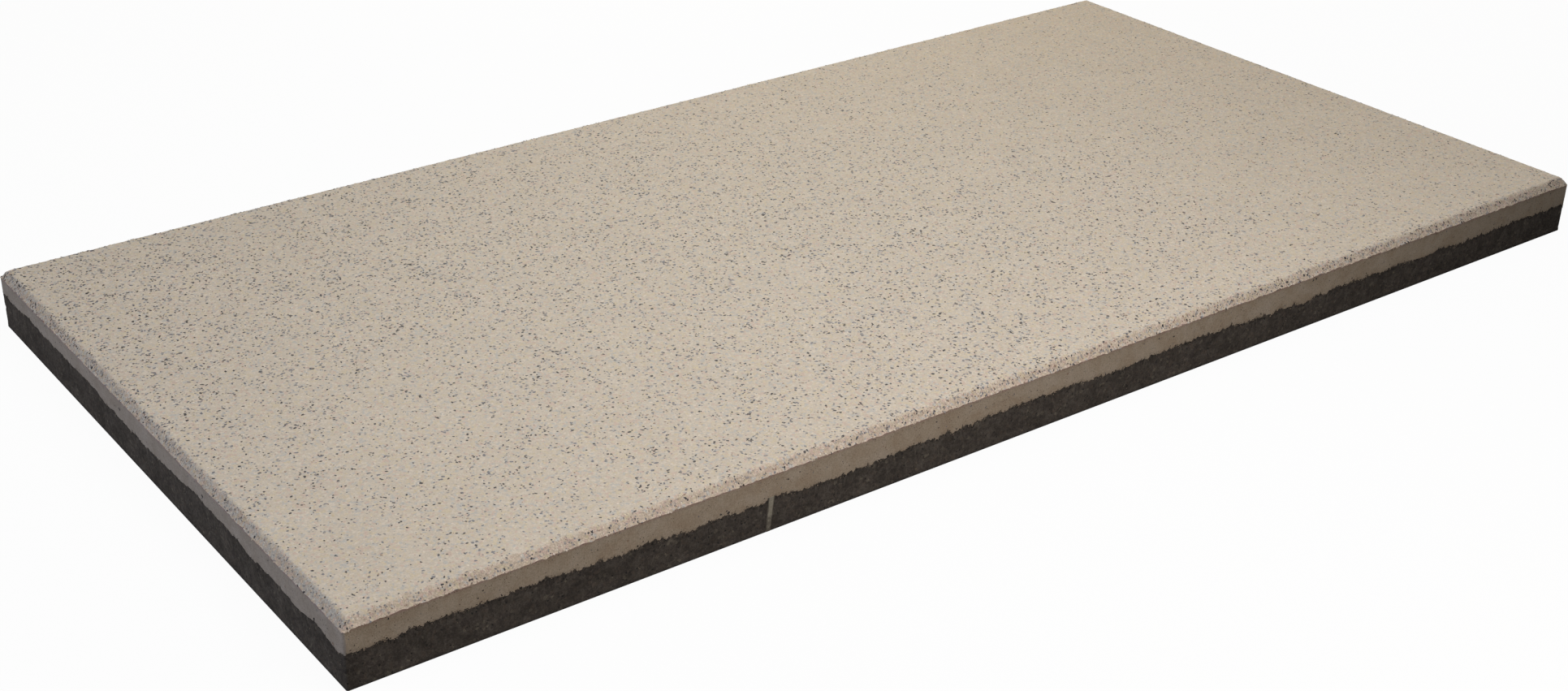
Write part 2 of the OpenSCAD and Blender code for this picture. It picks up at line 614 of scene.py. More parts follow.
def face_mix(name, palette, speck_share, relief, contrast):
    """The face mix where its grains show: a mottle of small grains in pale cement."""
    m = Maker(name)
    cell, _ = m.cells(1.7 * MM, m.jostled(1.2 * MM, 1.5 * MM))
    grains = m.ramp(cell, palette, "CONSTANT")
    broad = m.noise(34 * MM, 3, 0.55)
    tone = m.shade(broad, 0.98, 1.02)
    colour = m.times(grains, tone)
    fine = m.noise(0.9 * MM, 2, 0.6)
    tint = m.shade(fine, 1 - contrast, 1 + contrast)
    colour = m.times(colour, tint)
    dust, middle = m.cells(1.9 * MM)
    dusty = m.spread(dust, 1 - speck_share - 0.01, 1 - speck_share)
    near = m.spread(middle, 0.4, 0.2)
    both = m.times(dusty, near)
    colour = m.mix(both, colour, m.times(colour, DUST_TINT))
    rough = m.over(m.noise(1.4 * MM, 2), 0.72, 0.92)
    height = m.sum(m.noise(1.3 * MM, 3, 0.6), m.noise(4.5 * MM, 2), 0.5)
    return m.finish(colour, rough, height, relief)


def side_mix(name, base, warm, pale):
    """The face mix where the mould struck it smooth: a fine cement skin with tiny pores."""
    m = Maker(name)
    soft = m.noise(11 * MM, 4, 0.6, 0.4)
    colour = m.ramp(soft, [(0.32, warm), (0.5, base), (0.7, pale)])
    fine = m.noise(0.9 * MM, 3, 0.7)
    colour = m.times(colour, m.shade(fine, 0.80, 1.20))
    chance, middle = m.cells(1.3 * MM)
    pore = m.times(m.spread(chance, 0.80, 0.83), m.spread(middle, 0.36, 0.16))
    # Painted shade: each pore is darkened
    colour = m.mix(pore, colour, m.times(colour, grey(PORE_PAINTED_SHADE)))
    # Painted shade, with a pink tint: the side is darker in a strip just under the arris, as if the chamfer's
    # edge shaded it
    under_arris_shade = m.spread(m.height(), ARRIS_SHADE_FROM, ARRIS_SHADE_TO)
    colour = m.mix(under_arris_shade, colour, m.times(colour, ARRIS_SHADE_TINT))
    rough = m.over(m.noise(3 * MM, 3), 0.6, 0.82)
    height = m.sum(m.noise(0.8 * MM, 3, 0.6), pore, -1.6)
    return m.finish(colour, rough, height, 0.09 * MM)


# The mould dragged pale streaks down the core mix, mostly near the boundary
DRAG_FROM = 8 * MM
DRAG_TO = 20 * MM
DRAG_COLOUR = (0.165, 0.150, 0.130, 1)
# Painted shade: pits and the lower edge fade to this dark colour
PAINTED_SHADE_COLOUR = (0.030, 0.030, 0.030, 1)
# Painted shade: the lower edge is darker, where the slab meets the floor
FOOT_PAINTED_SHADE = 2.5 * MM


def core_mix():
    """The coarse dark core mix: black and brown mottle, pits, and streaks that the mould dragged."""
    m = Maker("core_mix")
    cell, _ = m.cells(1.9 * MM, m.jostled(1.4 * MM, 1.8 * MM))
    palette = [
        (0.0, (0.072, 0.063, 0.057, 1)), (0.3, (0.086, 0.076, 0.066, 1)), (0.62, (0.097, 0.087, 0.077, 1)),
        (0.86, (0.102, 0.086, 0.073, 1)), (0.965, (0.140, 0.126, 0.104, 1)),
    ]
    colour = m.ramp(cell, palette, "CONSTANT")
    cloud = m.noise(14 * MM, 4, 0.65)
    colour = m.times(colour, m.shade(cloud, 0.68, 1.3))
    drag = m.noise(2.2 * MM, 2, 0.6, 0.0, m.stretch(1, 1, 6))
    streak = m.spread(drag, 0.58, 0.76, 0, 0.75)
    by_boundary = m.spread(m.height(), DRAG_FROM, DRAG_TO, 0.35, 1.0)
    colour = m.mix(m.times(streak, by_boundary), colour, DRAG_COLOUR)
    fine = m.noise(0.9 * MM, 3, 0.7)
    colour = m.times(colour, m.shade(fine, 0.66, 1.30))
    chance, middle = m.cells(2.3 * MM)
    pit = m.times(m.spread(chance, 0.84, 0.87), m.spread(middle, 0.34, 0.16))
    # Painted shade in the pits: they are darkened almost to black
    colour = m.mix(pit, colour, PAINTED_SHADE_COLOUR)
    # Painted shade along the lower edge
    foot_shade_share = m.spread(m.height(), FOOT, FOOT + FOOT_PAINTED_SHADE, 0.6, 0.0)
    colour = m.mix(foot_shade_share, colour, PAINTED_SHADE_COLOUR)
    rough = m.over(m.noise(2 * MM, 3), 0.75, 0.97)
    height = m.sum(m.noise(1.5 * MM, 4, 0.65), m.noise(0.7 * MM, 2), 0.4)
    height = m.sum(height, pit, -0.8)
    return m.finish(colour, rough, height, 0.22 * MM, 0.2)


def grain_mix(name, dark, light):
    """One kind of granite grain, with the slight change of shade that its crystals give."""
    m = Maker(name)
    colour = m.ramp(m.noise(2.3 * MM, 2, 0.6), [(0.35, (*dark, 1)), (0.65, (*light, 1))])
    rough = m.over(m.noise(0.7 * MM, 2), 0.45, 0.75)
    return m.finish(colour, rough, m.noise(0.6 * MM, 2), 0.06 * MM, 0.35)


BEIGE = (0.560, 0.490, 0.402, 1)
LIGHT = (0.598, 0.528, 0.440, 1)
BUFF = (0.575, 0.492, 0.365, 1)
LILAC = (0.490, 0.462, 0.420, 1)
PINK = (0.560, 0.445, 0.366, 1)
PALE = (0.590, 0.492, 0.396, 1)
ROSE = (0.540, 0.416, 0.346, 1)
ASH = (0.480, 0.424, 0.374, 1)
SAND = (0.515, 0.427, 0.336, 1)

top_mix = face_mix(
    "face_mix_top",
    [(0.0, BEIGE), (0.5, LIGHT), (0.64, BUFF), (0.78, LILAC), (0.9, PINK)],
    0.16, 0.12 * MM, 0.1,
)
edge_mix = face_mix(
    "face_mix_edge",
    [(0.0, SAND), (0.38, PALE), (0.62, BUFF), (0.72, LILAC), (0.8, ROSE)],
    0.2, 0.45 * MM, 0.22,
)
# The chamfer on the short ends: a greyer, darker copy of the long chamfer's mix, with painted shade for how
# the ends are lit
short_edge_shaded_mix = face_mix(
    "face_mix_short_edge_painted_shade",
    [(0.0, LILAC), (0.35, SAND), (0.6, ASH), (0.88, PINK)],
    0.26, 0.45 * MM, 0.22,
)
# One cement skin in two copies with painted light: the long sides warmer, the short ends greyer and darker,
# for how the lamps fall on them. Both are darker than the top, partly as a smoother skin and partly as
# painted shade
long_side_warm_lit_mix = side_mix(
    "face_mix_long_side_warm_lit", (0.440, 0.370, 0.288, 1), (0.400, 0.322, 0.240, 1), (0.480, 0.414, 0.338, 1)
)
short_side_cool_lit_mix = side_mix(
    "face_mix_short_side_cool_lit", (0.400, 0.356, 0.315, 1), (0.365, 0.318, 0.275, 1), (0.440, 0.398, 0.362, 1)
)
dark_mix = core_mix()


# ------------------------ the two layers

# The edge's rough texture starts this far in, in chamfer widths
EDGE_ZONE = 1.12
UNDER_RELIEF = 0.3 * MM
UNDER_NOISE = (54, 5 * MM)
# Smooth shading creases where faces meet at more than these angles
FACE_CREASE = 34
CORE_CREASE = 40
RUN_CREASE = 50


def build_layers():
    rim_top = top_height(PLACE[:, 0], PLACE[:, 1])
    rim_foot = np.full(COLUMNS, FOOT)
    top = make_sheet(TOP_BANDS, 51, rim_top, top_height)
    meeting = make_sheet(HIDDEN_BANDS, 52, EDGE_LINE, boundary)
    under_noise = noise(*UNDER_NOISE)
    under = make_sheet(
        UNDER_BANDS, 53, rim_foot, lambda x, y: FOOT + UNDER_RELIEF * np.maximum(under_noise(x, y), 0)
    )

    points, upper, side, lower = close_layer(top, meeting, FACE_ROWS)
    middles = points[upper].mean(1)
    stray = sum(noise(seed, size)(middles[:, 0], middles[:, 1]) * amount for seed, size, amount in EDGE_STRAY)
    in_edge = chamfer_place(middles[:, 0], middles[:, 1]) + stray < EDGE_ZONE
    by_short = HALF_X - abs(middles[:, 0]) < HALF_Y - abs(middles[:, 1])
    on_short = np.tile(LONG_SIDE < 0.5, FACE_ROWS)
    indices = np.concatenate([in_edge * (1 + 3 * by_short), 2 + on_short, np.full(len(lower), 2)])
    face = make_object(
        "face_layer_slab", points, [*upper, *side, *lower],
        [top_mix, edge_mix, long_side_warm_lit_mix, short_side_cool_lit_mix, short_edge_shaded_mix], indices,
    )
    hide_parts("face_layer")
    smooth(face, FACE_CREASE)

    points, upper, side, lower = close_layer(meeting, under, CORE_ROWS)
    core = make_object(
        "core_layer_slab", points, [*upper, *side, *lower],
        [dark_mix], np.zeros(len(upper) + len(side) + len(lower)),
    )
    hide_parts("core_layer")
    smooth(core, CORE_CREASE)
    return face, core


face_piece, core_piece = build_layers()


# ------------------------ the run of face mix

RUN_ROWS = 46
RUN_AROUND = 14
RUN_PROUD = 0.22 * MM
RUN_BURIED = 1.6 * MM
RUN_INTO_FACE = 2.5 * MM
RUN_FLARE = 0.5 * MM
RUN_FLARE_REACH = 2.5 * MM
RUN_FADE = 15 * MM
# Its two long edges blend into the core mix over this width
RUN_SOFT = 1.0 * MM
RUN_STAIN = (0.115, 0.103, 0.088, 1)
RUN_SHADE = (0.295, 0.276, 0.225, 1)
RUN_LIGHT = (0.390, 0.370, 0.308, 1)
# Share of the CAD's run that the visible run is wide, and how far from its middle its colour reaches
RUN_SPAN = 0.95
RUN_PAINT = 0.58
# How far above the underside it starts, how far its middle strays, and by what share its width does
RUN_LIFT = 0.05 * MM
RUN_WOBBLE = 0.3 * MM
RUN_RIPPLE = 0.13


def build_run():
    """The narrow tongue of face mix that ran down the front, as a closed tapering form."""
    column = int(np.argmin(np.hypot(PLACE[:, 0] - RUN_TOP_X, PLACE[:, 1] + HALF_Y)))
    top_z = EDGE_LINE[column] + RUN_INTO_FACE
    wobble = noise(61, 4.5 * MM)
    ripple = noise(62, 1.8 * MM)
    points = []
    for k in range(RUN_ROWS + 1):
        t = k / RUN_ROWS
        z = FOOT + RUN_LIFT + (top_z - FOOT) * t
        middle = RUN_FOOT_X + (RUN_TOP_X - RUN_FOOT_X) * t + wobble(z, 0) * RUN_WOBBLE
        flare = RUN_FLARE * math.exp(-(((top_z - z) / RUN_FLARE_REACH) ** 2))
        span = (RUN_FOOT_WIDTH + (RUN_TOP_WIDTH - RUN_FOOT_WIDTH) * t) * RUN_SPAN + flare
        for a in range(RUN_AROUND):
            angle = 2 * math.pi * a / RUN_AROUND
            stray = 1 + RUN_RIPPLE * ripple(z, angle * MM * 5 + 1)
            x = middle + math.cos(angle) * span / 2 * stray
            reach = RUN_PROUD if math.sin(angle) < 0 else RUN_BURIED
            y = -HALF_Y + math.sin(angle) * reach
            points.append((x, y, z))
    faces = []
    for k in range(RUN_ROWS):
        for a in range(RUN_AROUND):
            b = (a + 1) % RUN_AROUND
            low, high = k * RUN_AROUND, (k + 1) * RUN_AROUND
            faces.append((low + a, low + b, high + b, high + a))
    faces.append(tuple(range(RUN_AROUND))[::-1])
    faces.append(tuple(range(RUN_ROWS * RUN_AROUND, (RUN_ROWS + 1) * RUN_AROUND)))
    run = make_object(
        "face_run", np.array(points), faces, [run_mix()], np.zeros(len(faces))
    )
    smooth(run, RUN_CREASE)
    return run


def run_mix():
    """The run's thin face mix: pale where it is thick, and fading into the core mix towards its foot."""
    m = Maker("face_mix_run")
    colour = m.ramp(m.noise(3 * MM, 3, 0.6), [(0.3, RUN_SHADE), (0.7, RUN_LIGHT)])
    fine = m.noise(0.9 * MM, 3, 0.7)
    colour = m.times(colour, m.shade(fine, 0.8, 1.15))
    fade = m.spread(m.height(), FOOT, FOOT + RUN_FADE, 0.42, 0.0)
    stain = m.spread(m.sum(m.noise(1.6 * MM, 3, 0.7), fade), 0.56, 0.82, 0.0, 0.8)
    colour = m.mix(stain, colour, RUN_STAIN)
    lean = (RUN_TOP_X - RUN_FOOT_X) / (boundary(RUN_TOP_X, cad_low.y) - FOOT)
    off_middle = m.sum(m.sum(m.axis("X"), m.height(), -lean), m.noise(2.5 * MM, 3, 0.6), RUN_SOFT)
    off_middle = m.sum(off_middle, -RUN_FOOT_X - RUN_SOFT / 2)
    half = RUN_PAINT * RUN_FOOT_WIDTH
    left = m.spread(off_middle, -half, RUN_SOFT - half, 1.0, 0.0)
    right = m.spread(off_middle, half - RUN_SOFT, half, 0.0, 1.0)
    colour = m.mix(m.sum(left, right), colour, RUN_STAIN)
    height = m.sum(m.noise(1.2 * MM, 3, 0.6), stain, -0.5)
    return m.finish(colour, m.over(fine, 0.65, 0.9), height, 0.15 * MM, 0.25)


build_run()


# ------------------------ inlaid grains

GRAIN_SIDES = 6
GRAIN_PROUD = 0.07 * MM
GRAIN_RIM = 0.02 * MM
GRAIN_BURIED = 0.3 * MM
# How uneven a grain is: its radii, how far its rim's points turn, and how far its crown is off centre
GRAIN_RADII = (0.72, 1.1)
GRAIN_TURN = 0.3
CROWN_OFF = 0.2
# The rays that place the grains start this far out, and reach this far
TOP_START = 0.1
SIDE_START = 0.05
RAY_REACH = 0.2


def find_surface(tree, origins, directions):
    """Points and normals where rays meet the surface."""
    spots, normals = [], []
    for origin, direction in zip(origins.tolist(), directions.tolist()):
        spot, normal, _, _ = tree.ray_cast(Vector(origin), Vector(direction), RAY_REACH)
        if spot is not None:
            spots.append(spot)
            normals.append(normal)
    return np.array(spots), np.array(normals)


def grain_mesh(rng, spots, normals, sizes, longest):
    """Low closed chips, one at each spot: a rim of uneven radius, a crown just proud and a buried base."""
    count = len(spots)
    helper = np.where(abs(normals[:, 2:]) > 0.9, [[1.0, 0, 0]], [[0, 0, 1.0]])
    across = np.cross(normals, helper)
    across /= np.linalg.norm(across, axis=1)[:, None]
    up = np.cross(normals, across)
    spin = rng.uniform(0, math.pi, count)
    first = across * np.cos(spin)[:, None] + up * np.sin(spin)[:, None]
    second = np.cross(normals, first)
    stretch = rng.uniform(1, longest, count)
    long_radius = sizes / 2 * np.sqrt(stretch)
    short_radius = sizes / 2 / np.sqrt(stretch)
    turn = rng.uniform(-GRAIN_TURN, GRAIN_TURN, (count, GRAIN_SIDES))
    angles = (np.arange(GRAIN_SIDES) + turn) / GRAIN_SIDES * 2 * math.pi
    radii = rng.uniform(*GRAIN_RADII, (count, GRAIN_SIDES))
    rim = (
        spots[:, None]
        + normals[:, None] * GRAIN_RIM
        + first[:, None] * (np.cos(angles) * radii * long_radius[:, None])[..., None]
        + second[:, None] * (np.sin(angles) * radii * short_radius[:, None])[..., None]
    )
    stray = (rng.uniform(-CROWN_OFF, CROWN_OFF, (count, 2)) * sizes[:, None])[..., None]
    crown = spots + normals * GRAIN_PROUD + first * stray[:, 0] + second * stray[:, 1]
    base = spots - normals * GRAIN_BURIED
    points = np.concatenate([rim, crown[:, None], base[:, None]], 1).reshape(-1, 3)
    here = np.arange(GRAIN_SIDES)
    after = (here + 1) % GRAIN_SIDES
    top = np.column_stack([here, after, np.full(GRAIN_SIDES, GRAIN_SIDES)])
    under = np.column_stack([after, here, np.full(GRAIN_SIDES, GRAIN_SIDES + 1)])
    one = np.concatenate([top, under])
    faces = (one[None] + (np.arange(count) * (GRAIN_SIDES + 2))[:, None, None]).reshape(-1, 3)
    return points, faces


# Share of the grains that lie in groups and how far those reach, on the top and on the bands round it
TOP_GATHERED = (0.32, 3.2 * MM)
BAND_GATHERED = (0.3, 2.2 * MM)


def clustered(rng, count, low, high, share, reach):
    """Random places in a box, that share of them gathered in little groups."""
    low, high = np.array(low), np.array(high)
    places = rng.uniform(low, high, (count, 2))
    gathered = rng.random(count) < share
    hosts = rng.integers(0, count, count)
    near = places[hosts] + rng.normal(0, reach, (count, 2))
    places[gathered] = near[gathered]
    return places[np.all((places > low) & (places < high), axis=1)]


# Share of the grains that is left at the right-hand end, at the right end's back, by the near corner and
# away from the left end's back, and how big they are by the near corner and at the right end, where 1 is
# no change
THIN_RIGHT = 0.45
THIN_BACK = 0.42
THIN_NEAR = 0.55
THIN_REST = 0.79
SHRINK_NEAR = 0.86
SHRINK_RIGHT = 0.9
NEAR_REACH = 0.25
# Where those changes start and end, from -1 to 1 along the length or the width
RIGHT_FROM = -0.05
RIGHT_TO = 0.7
BACK_FROM = -0.3
REST_FROM_X = 0.3
REST_FROM_Y = -0.7


def near_share(spots):
    """1 at the near corner, falling to 0 away from it."""
    return np.exp(-((np.hypot(spots[:, 0] + HALF_X, spots[:, 1] + HALF_Y) / NEAR_REACH) ** 2))


def thinned(rng, spots, fade):
    """Which of the spots stay. Fade says how strongly a kind of grain thins out to the right and the back."""
    x = spots[:, 0] / HALF_X
    y = spots[:, 1] / HALF_Y
    right = 1 + (THIN_RIGHT - 1) * ease((x - RIGHT_FROM) / (RIGHT_TO - RIGHT_FROM))
    back = 1 + (THIN_BACK - 1) * ease(y) * ease(x - BACK_FROM)
    near = 1 + (THIN_NEAR - 1) * near_share(spots)
    left_back = ease(REST_FROM_X - x) * ease(y - REST_FROM_Y)
    rest = THIN_REST + (1 - THIN_REST) * left_back
    return rng.random(len(spots)) < (right * back) ** fade * near * rest


def top_spots(rng, tree, count, fade):
    """Grain places over the flat top."""
    inset = CHAMFER_WIDTH
    low = (-HALF_X + inset, -HALF_Y + inset)
    high = (HALF_X - inset, HALF_Y - inset)
    places = clustered(rng, count, low, high, *TOP_GATHERED)
    places = places[thinned(rng, places, fade)]
    origins = np.column_stack([places, np.full(len(places), TOP + TOP_START)])
    down = np.tile([0, 0, -1.0], (len(places), 1))
    spots, _ = find_surface(tree, origins, down)
    return spots, np.tile([0, 0, 1.0], (len(spots), 1))


# Sides, as the direction that each faces and half its length
SIDES = [((0, -1), HALF_X), ((1, 0), HALF_Y), ((0, 1), HALF_X), ((-1, 0), HALF_Y)]


def band_spots(rng, tree, density, low, high, tilt):
    """Grain places in a strip round the slab, that many to the square metre. The strip runs from low to
    high, up the side or in over the chamfer, and the rays that find it come in tilted up by that angle."""
    origins, directions = [], []
    rise = math.sin(tilt)
    run = math.cos(tilt)
    for (out_x, out_y), half in SIDES:
        count = rng.poisson(density * 2 * half * (high - low))
        places = clustered(rng, count, (-half, low), (half, high), *BAND_GATHERED)
        out = np.array([out_x, out_y, 0.0])
        along = np.array([-out_y, out_x, 0.0])
        edge = HALF_X * abs(out_x) + HALF_Y * abs(out_y)
        aim = out * run + np.array([0, 0, rise])
        slope = np.array([0, 0, run]) - out * rise
        base = out * edge + np.array([0, 0, SHOULDER])
        for s, t in places:
            origins.append(base + along * s + slope * t + aim * SIDE_START)
            directions.append(-aim)
    return find_surface(tree, np.array(origins), np.array(directions))


CHAMFER_TILT = math.atan2(CHAMFER_WIDTH, CHAMFER_DEPTH)
CHAMFER_SPAN = math.hypot(CHAMFER_WIDTH, CHAMFER_DEPTH)


def sizes_of(rng, count, middle, spread, low, high):
    """Random sizes round the middle one, held between the lowest and the highest."""
    return np.clip(middle * np.exp(rng.normal(0, spread, count)), low, high)


# Bands round the slab: the layer, from and to as band_spots takes them, and the tilt of its rays
BANDS = {
    "chamfer": ("face", -0.2 * MM, CHAMFER_SPAN, CHAMFER_TILT),
    "crown": ("face", CHAMFER_SPAN, CHAMFER_SPAN + 2.6 * MM, CHAMFER_TILT),
    "arris": ("face", -0.9 * MM, 0.15 * MM, 0),
    "face_side": ("face", -15 * MM, -0.5 * MM, 0),
    "core": ("core", FOOT - SHOULDER + MM, -14 * MM, 0),
}
# Strips along the boundary: how far below it their middle is, and how far they stray
EDGE_STRIPS = {
    # The black crumbs along the boundary are partly dark grains of the core and partly painted shade along
    # the boundary's notches
    "edge": (0.8 * MM, 0.8 * MM),
    "edge_above": (-0.15 * MM, 0.45 * MM),
    "edge_below": (0.55 * MM, 0.4 * MM),
}

# Along the boundary, the share of grains that lie in groups, how many columns those groups reach, and the
# share of them that is left on the short sides
EDGE_GATHERED = 0.5
EDGE_REACH = 2.5
SHORT_SHARE = 0.25


def edge_spots(rng, per_metre, drop, stray):
    """Places strung along the boundary, that far below it on average, mostly on the long sides."""
    count = rng.poisson(per_metre * ALONG[-1])
    columns = rng.integers(0, COLUMNS, count)
    hosts = columns[rng.integers(0, count, count)]
    gathered = rng.random(count) < EDGE_GATHERED
    near = (hosts + rng.normal(0, EDGE_REACH, count).astype(int)) % COLUMNS
    columns = np.where(gathered, near, columns)
    columns = columns[rng.random(count) < SHORT_SHARE + (1 - SHORT_SHARE) * RAGGED[columns]]
    z = EDGE_LINE[columns] + rng.normal(-drop, stray, len(columns))
    out = PLACE[columns] + NORMAL[columns] * SIDE_START
    aim = np.column_stack([-NORMAL[columns], np.zeros(len(columns))])
    return np.column_stack([out, z]), aim


def build_grains(trees, name, seed, mix, dark, light, slot, fade, recipe):
    """One piece that holds every grain of a kind, from its row in the table."""
    rng = np.random.default_rng(seed)
    points, faces, start = [], [], 0
    for where, amount, middle, spread, low, high, longest in recipe:
        if where == "top":
            spots, normals = top_spots(rng, trees["face"], amount, fade)
        elif where in EDGE_STRIPS:
            origins, directions = edge_spots(rng, amount, *EDGE_STRIPS[where])
            spots, normals = find_surface(trees["both"], origins, directions)
        else:
            layer, *band = BANDS[where]
            spots, normals = band_spots(rng, trees[layer], amount, *band)
        if where in ("chamfer", "crown"):
            stays = rng.random(len(spots)) < 1 + (THIN_NEAR - 1) * near_share(spots)
            spots, normals = spots[stays], normals[stays]
        sizes = sizes_of(rng, len(spots), middle * MM, spread, low * MM, high * MM)
        if where in ("top", "chamfer", "crown"):
            sizes = sizes * (1 + (SHRINK_NEAR - 1) * near_share(spots))
            sizes = sizes * (1 + (SHRINK_RIGHT - 1) * ease(spots[:, 0] / HALF_X))
        some_points, some_faces = grain_mesh(rng, spots, normals, sizes, longest)
        points.append(some_points)
        faces.append(some_faces + start)
        start += len(some_points)
    faces = np.concatenate(faces)
    material = grain_mix(mix, dark, light)
    piece = make_object(name, np.concatenate(points), faces, [material], np.zeros(len(faces)))
    piece.data.polygons.foreach_set("use_smooth", np.zeros(len(faces), bool))


# Each kind of grain: its piece, seed, material, two shades, slot, how strongly it thins out on the top, and
# where it lies. That is a list of: place; how many, which is in all on the top, to the metre along the
# boundary and to the square metre elsewhere; usual size in mm and the spread of sizes; the smallest and
# the largest in mm; how many times longer than wide they may be.
GRAIN_KINDS = [
    ("grains_dark", 71, "grain_dark", (0.050, 0.047, 0.050), (0.095, 0.088, 0.088), FACE_SLOT, 1.0, [
        ("top", 12300, 1.56, 0.22, 0.8, 2.5, 1.9),
        ("chamfer", 48000, 1.3, 0.3, 0.7, 2.3, 1.8),
        ("chamfer", 1600, 2.3, 0.2, 1.8, 3.0, 1.5),
        ("crown", 20000, 1.4, 0.25, 0.7, 2.2, 1.8),
        ("face_side", 9000, 0.75, 0.3, 0.45, 1.5, 1.7),
        ("face_side", 250, 2.0, 0.2, 1.5, 2.8, 1.5),
    ]),
    ("grains_grey", 72, "grain_grey", (0.162, 0.162, 0.174), (0.250, 0.244, 0.252), FACE_SLOT, 0.9, [
        ("top", 13900, 1.6, 0.25, 0.7, 2.6, 2.0),
        ("chamfer", 44000, 1.25, 0.25, 0.7, 2.1, 1.8),
        ("crown", 26000, 1.3, 0.25, 0.7, 2.1, 1.8),
        ("face_side", 5000, 0.9, 0.3, 0.5, 1.6, 1.7),
    ]),
    ("grains_slate", 78, "grain_slate", (0.245, 0.222, 0.210), (0.335, 0.308, 0.292), FACE_SLOT, 0.35, [
        ("top", 11200, 1.55, 0.28, 0.8, 2.7, 2.2),
        ("chamfer", 60000, 1.4, 0.25, 0.8, 2.2, 1.8),
        ("crown", 40000, 1.4, 0.25, 0.8, 2.2, 1.8),
    ]),
    ("grains_buff", 73, "grain_buff", (0.540, 0.440, 0.300), (0.610, 0.515, 0.365), FACE_SLOT, 0.0, [
        ("top", 3600, 1.4, 0.28, 0.8, 2.6, 2.0),
        ("chamfer", 40000, 1.3, 0.25, 0.8, 2.2, 1.7),
    ]),
    ("grains_brown", 74, "grain_brown", (0.230, 0.150, 0.112), (0.370, 0.270, 0.205), FACE_SLOT, 0.35, [
        ("top", 2900, 1.15, 0.3, 0.6, 2.2, 1.9),
        ("chamfer", 70000, 1.0, 0.3, 0.6, 2.0, 1.8),
        ("arris", 130000, 0.8, 0.25, 0.5, 1.4, 1.8),
        ("face_side", 1200, 0.9, 0.35, 0.5, 1.9, 1.6),
    ]),
    ("grains_pale", 75, "grain_pale", (0.610, 0.530, 0.440), (0.690, 0.612, 0.520), FACE_SLOT, 0.0, [
        ("top", 7600, 1.25, 0.28, 0.8, 2.3, 1.8),
        ("chamfer", 70000, 1.2, 0.25, 0.8, 2.0, 1.7),
        ("crown", 40000, 1.2, 0.25, 0.8, 2.0, 1.7),
    ]),
    ("arris_bits", 81, "arris_bit", (0.470, 0.400, 0.322), (0.560, 0.485, 0.400), FACE_SLOT, 0.0, [
        ("arris", 330000, 1.0, 0.3, 0.5, 2.0, 1.8),
    ]),
    ("core_grit", 76, "core_grit", (0.130, 0.112, 0.088), (0.240, 0.205, 0.155), CORE_SLOT, 0.0, [
        ("core", 4500, 0.7, 0.35, 0.4, 1.8, 1.6),
    ]),
    ("core_crumbs_and_edge_shade", 77, "core_crumbs_and_edge_shade", (0.018, 0.017, 0.016), (0.045, 0.040, 0.036), CORE_SLOT, 0.0, [
        ("core", 14000, 0.8, 0.3, 0.5, 1.8, 1.6),
        # Partly painted shade: a dark line of crumbs along the boundary
        ("edge", 950, 0.95, 0.35, 0.5, 2.4, 2.3),
    ]),
    ("boundary_core_bits", 79, "core_bits", (0.080, 0.069, 0.058), (0.125, 0.108, 0.090), CORE_SLOT, 0.0, [
        ("edge_above", 900, 0.85, 0.3, 0.5, 1.8, 1.7),
    ]),
    ("boundary_face_bits", 80, "face_bits", (0.290, 0.236, 0.180), (0.400, 0.328, 0.255), FACE_SLOT, 0.0, [
        ("edge_below", 420, 0.7, 0.3, 0.45, 1.4, 1.8),
    ]),
]


def build_all_grains():
    trees = {
        "face": tree_of(face_piece),
        "core": tree_of(core_piece),
        "both": tree_of(face_piece, core_piece),
    }
    for kind in GRAIN_KINDS:
        build_grains(trees, *kind)


build_all_grains()


# ------------------------ camera

LENS = 50
SENSOR = 36
SHIFT_X = 0.073
AZIMUTH = math.radians(-34.6)
ELEVATION = math.radians(27.5)
# The point of the top that the lens axis meets, and how far from it the camera stands
AIM = Vector((-0.1935, -0.0951, TOP))
DISTANCE = 1.3581


def add_camera():
    data = bpy.data.cameras.new("camera")
    data.lens = LENS
    data.sensor_width = SENSOR
    data.shift_x = SHIFT_X
    camera = add_object("camera", data)
    back = Vector((
        math.sin(AZIMUTH) * math.cos(ELEVATION), -math.cos(AZIMUTH) * math.cos(ELEVATION), math.sin(ELEVATION)
    ))
    camera.location = AIM + back * DISTANCE
    camera.rotation_euler = back.to_track_quat("Z", "Y").to_euler()
    bpy.context.scene.camera = camera


add_camera()


# ------------------------ floor and light

# The floor lies just clear of the underside, so that the two faces never share a plane
FLOOR_Z = FOOT - 0.2 * MM
FLOOR_RADIUS = 5.0
WALL_BEND = 1.5
WALL_HEIGHT = 5.0
FLOOR_AROUND = 96
FLOOR_BEND_ROWS = 12
PAPER_SHADE = 0.025
PAPER_GLOW = 0.962


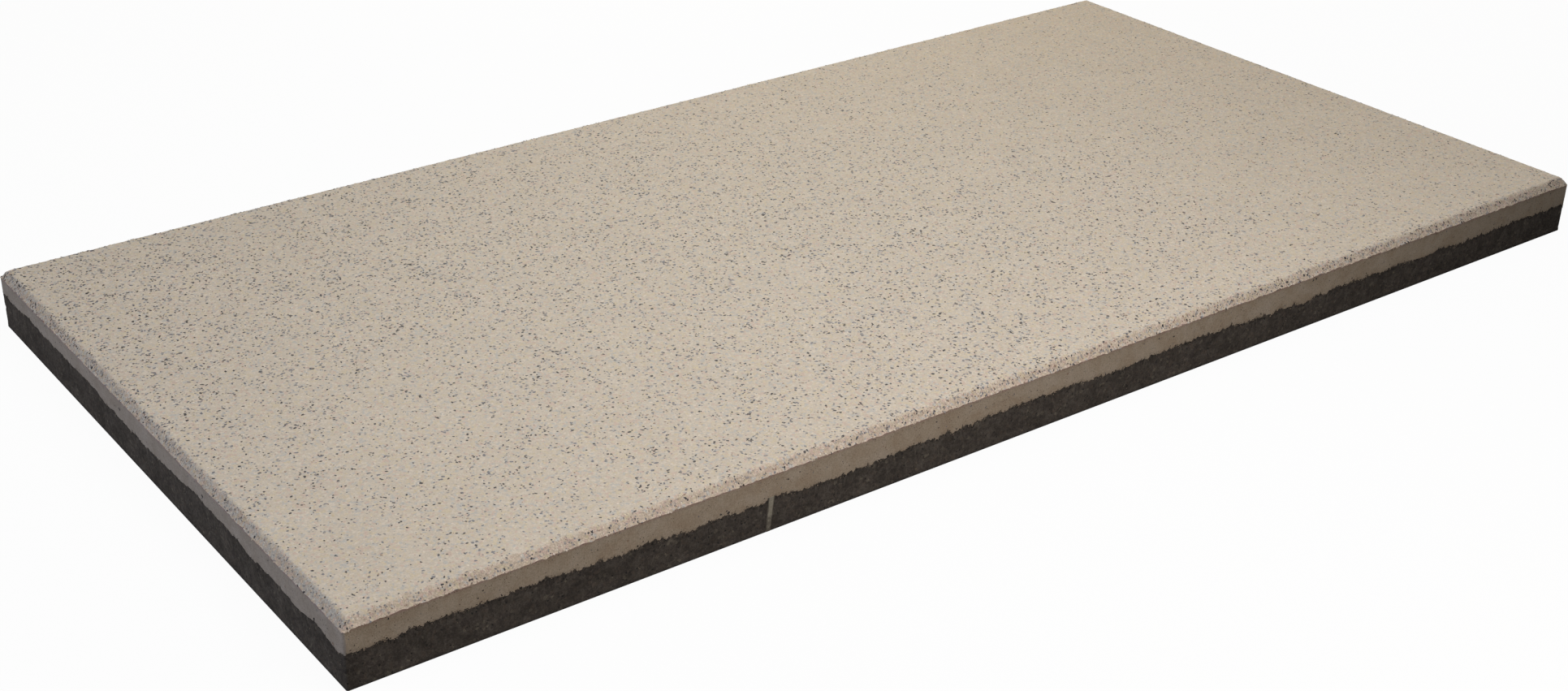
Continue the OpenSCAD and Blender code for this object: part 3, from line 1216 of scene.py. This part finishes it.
def build_floor():
    """A plain round floor that bends up into a wall, so that every view ends in the same pale tone."""
    profile = [(0.0, 0.0), (FLOOR_RADIUS, 0.0)]
    for k in range(1, FLOOR_BEND_ROWS + 1):
        angle = math.pi / 2 * k / FLOOR_BEND_ROWS
        profile.append((FLOOR_RADIUS + WALL_BEND * math.sin(angle), WALL_BEND * (1 - math.cos(angle))))
    profile.append((FLOOR_RADIUS + WALL_BEND, WALL_HEIGHT))
    points = [(0, 0, FLOOR_Z)]
    for radius, height in profile[1:]:
        for k in range(FLOOR_AROUND):
            angle = 2 * math.pi * k / FLOOR_AROUND
            points.append((radius * math.cos(angle), radius * math.sin(angle), FLOOR_Z + height))
    faces = [(0, 1 + k, 1 + (k + 1) % FLOOR_AROUND) for k in range(FLOOR_AROUND)]
    for ring in range(len(profile) - 2):
        low, high = 1 + ring * FLOOR_AROUND, 1 + (ring + 1) * FLOOR_AROUND
        for k in range(FLOOR_AROUND):
            after = (k + 1) % FLOOR_AROUND
            faces.append((low + k, high + k, high + after, low + after))
    mesh = bpy.data.meshes.new("floor")
    mesh.from_pydata(points, [], faces)
    mesh.polygons.foreach_set("use_smooth", np.ones(len(faces), bool))
    material = bpy.data.materials.new("studio_paper")
    material.use_nodes = True
    shader = material.node_tree.nodes["Principled BSDF"]
    shader.inputs["Base Color"].default_value = grey(PAPER_SHADE)
    shader.inputs["Roughness"].default_value = 1.0
    shader.inputs["Specular IOR Level"].default_value = 0.0
    shader.inputs["Emission Color"].default_value = (1, 1, 1, 1)
    shader.inputs["Emission Strength"].default_value = PAPER_GLOW
    mesh.materials.append(material)
    floor = add_object("floor", mesh)
    # The paper shows white but throws no light back on the slab's sides
    floor.visible_diffuse = False
    floor.visible_glossy = False


# Name, place, the point of the floor that it faces, width, watts, colour
LAMPS = [
    ("overhead", (-0.07, -0.18, 1.00), (-0.30, 0.30), 1.0, 8.6, (0.97, 1.0, 1.03)),
    ("left", (-2.04, -0.01, 0.60), (0.40, 0.30), 1.0, 11.5, (0.985, 0.995, 1.07)),
    ("front", (0.01, -0.93, 0.42), (-0.60, -0.35), 0.5, 2.65, (1.11, 0.98, 0.88)),
    ("back", (0.47, 0.90, 0.45), (0.40, 0.30), 0.8, 3.5, (1.12, 1.0, 0.79)),
    ("right", (2.00, 0.30, 0.45), (0.00, 0.00), 1.0, 10.5, (1.14, 0.98, 0.77)),
]
AMBIENT = 0.04


def add_lights():
    for name, place, aim, width, power, colour in LAMPS:
        data = bpy.data.lights.new(name, "AREA")
        data.shape = "SQUARE"
        data.size = width
        data.energy = power
        data.color = colour
        lamp = add_object(name, data)
        lamp.location = place
        back = Vector(place) - Vector((*aim, FOOT))
        lamp.rotation_euler = back.to_track_quat("Z", "Y").to_euler()
        lamp.visible_camera = False
    world = bpy.data.worlds.new("studio")
    world.use_nodes = True
    background = world.node_tree.nodes["Background"]
    background.inputs["Color"].default_value = (1, 1, 1, 1)
    background.inputs["Strength"].default_value = AMBIENT
    bpy.context.scene.world = world
    bpy.context.scene.view_settings.view_transform = "Standard"


build_floor()
add_lights()
